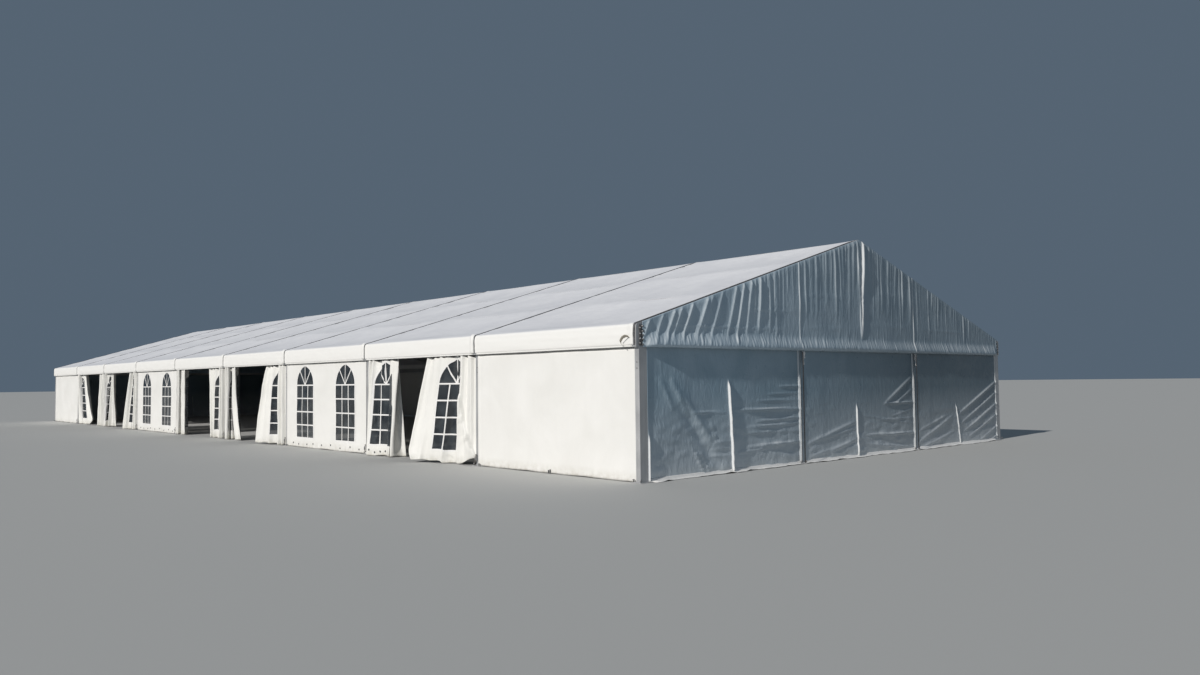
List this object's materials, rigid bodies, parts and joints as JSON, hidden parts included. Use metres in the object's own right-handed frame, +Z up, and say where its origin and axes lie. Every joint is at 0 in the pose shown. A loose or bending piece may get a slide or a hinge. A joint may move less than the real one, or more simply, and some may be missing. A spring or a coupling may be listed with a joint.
{
  "type": "clear-span frame marquee, 1:2 scale model",
  "caption": "Long frame marquee: aluminium portal frames under taut white sheets, with arched windows and curtained doorways along one side.",
  "frame": {"origin": "on the ground, in the middle of the floor plan", "axes": "+X along the ridge towards the near gable, -Y towards the front side with the doorways, +Z up"},
  "size_m": [22.63, 7.7296, 2.575],
  "materials": {
    "aluminium": "dull mill-finish extrusion",
    "roof_cloth": "coated white cloth, slightly satin",
    "wall_cloth": "coated white cloth, slightly satin",
    "gable_cloth": "thin translucent white cloth, wrinkled",
    "clear_sheet": "clear flexible sheet, glossy"
  },
  "bodies": {
    "root": {"portal_frame_1": "aluminium", "portal_frame_2": "aluminium", "portal_frame_3": "aluminium", "portal_frame_4": "aluminium", "portal_frame_5": "aluminium", "portal_frame_6": "aluminium", "portal_frame_7": "aluminium", "portal_frame_8": "aluminium", "portal_frame_9": "aluminium", "portal_frame_10": "aluminium", "front_eave_beam": "aluminium", "front_lower_purlin": "aluminium", "front_upper_purlin": "aluminium", "back_eave_beam": "aluminium", "back_lower_purlin": "aluminium", "back_upper_purlin": "aluminium", "ridge_beam": "aluminium", "near_gable_beam": "aluminium", "near_gable_upright_1": "aluminium", "near_gable_upright_2": "aluminium", "far_gable_beam": "aluminium", "far_gable_upright_1": "aluminium", "far_gable_upright_2": "aluminium", "roof_sheet_1": "roof_cloth", "roof_sheet_2": "roof_cloth", "roof_sheet_3": "roof_cloth", "roof_sheet_4": "roof_cloth", "roof_sheet_5": "roof_cloth", "roof_sheet_6": "roof_cloth", "roof_sheet_7": "roof_cloth", "roof_sheet_8": "roof_cloth", "roof_sheet_9": "roof_cloth", "near_gable_sheet": "gable_cloth", "near_gable_wall_1": "gable_cloth", "near_gable_wall_2": "gable_cloth", "near_gable_wall_3": "gable_cloth", "far_gable_sheet": "gable_cloth", "far_gable_wall_1": "gable_cloth", "far_gable_wall_2": "gable_cloth", "far_gable_wall_3": "gable_cloth", "front_wall_1": "wall_cloth", "front_wall_9": "wall_cloth", "window_wall_3": "wall_cloth", "window_sheet_3": "clear_sheet", "window_wall_6": "wall_cloth", "window_sheet_6": "clear_sheet", "back_wall": "wall_cloth", "curtain_2_near": "wall_cloth", "curtain_2_far": "wall_cloth", "curtain_4_near": "wall_cloth", "curtain_4_far": "wall_cloth", "curtain_5_near": "wall_cloth", "curtain_5_far": "wall_cloth", "curtain_7_near": "wall_cloth", "curtain_7_far": "wall_cloth", "curtain_8_near": "wall_cloth", "curtain_8_far": "wall_cloth"}
  },
  "joints": []
}
